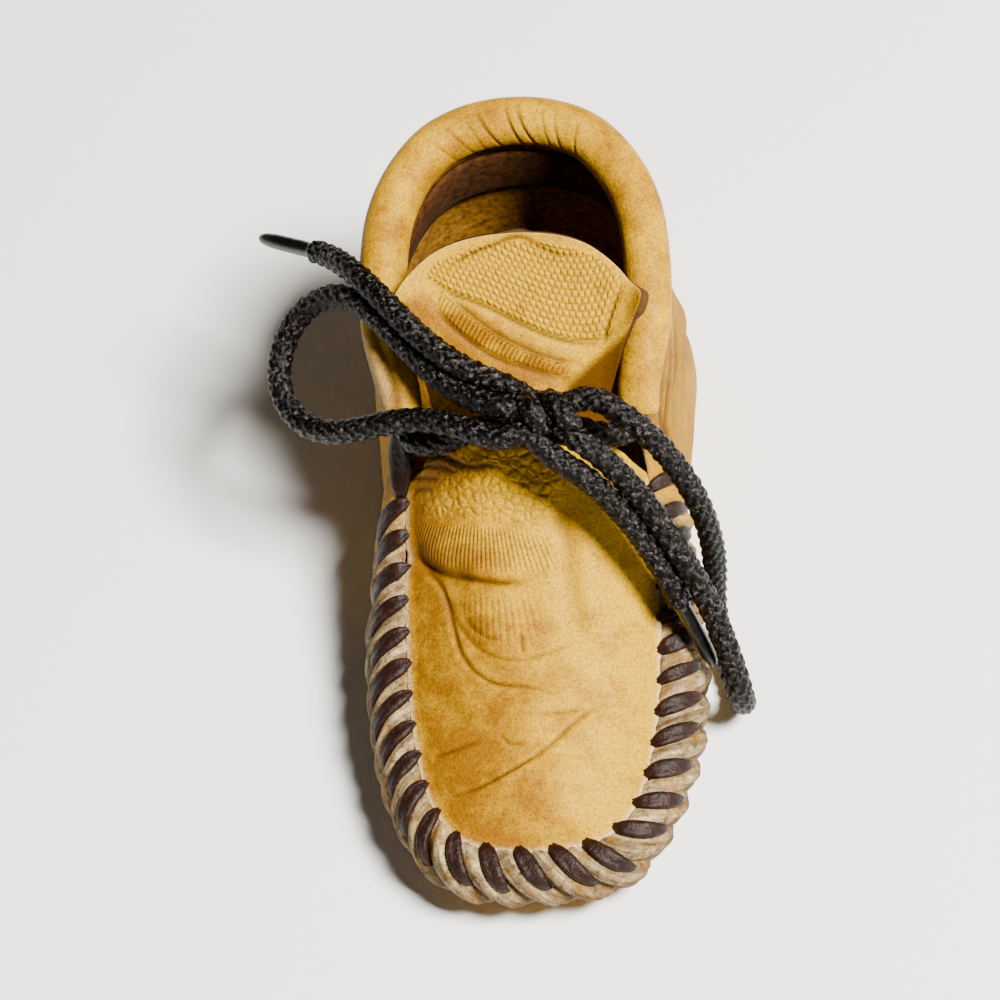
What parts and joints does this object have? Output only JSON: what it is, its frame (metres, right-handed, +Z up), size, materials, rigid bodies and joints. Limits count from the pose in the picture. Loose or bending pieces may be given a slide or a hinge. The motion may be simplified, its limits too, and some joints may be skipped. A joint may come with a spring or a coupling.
{
  "type": "baby moccasin",
  "caption": "Soft baby moccasin in tan leather with a gathered, whip-stitched toe, a plug running on as the tongue, a padded rolled collar and a black drawstring lace tied in a bow.",
  "frame": {"origin": "on the underside of the sole at the middle of its length and width", "axes": "+Z up from the floor, toe along -Y, heel along +Y, +X to the side on which the longer bow loop hangs"},
  "size_m": [0.0795, 0.124, 0.0638],
  "materials": {
    "tan_leather": "soft smooth grain, suede inside and along the gathered edge",
    "black_lace": "round braided cord",
    "lace_tip": "smooth sealed tip"
  },
  "bodies": {
    "root": {"moccasin_bottom": "tan_leather", "plug_and_tongue": "tan_leather", "collar_roll": "tan_leather", "lace_crossing": "black_lace", "lace_knot": "black_lace", "lace_loop_left": "black_lace", "lace_loop_right": "black_lace", "lace_end_left": "black_lace", "lace_end_right": "black_lace", "aglet_left": "lace_tip", "aglet_right": "lace_tip"}
  },
  "joints": []
}
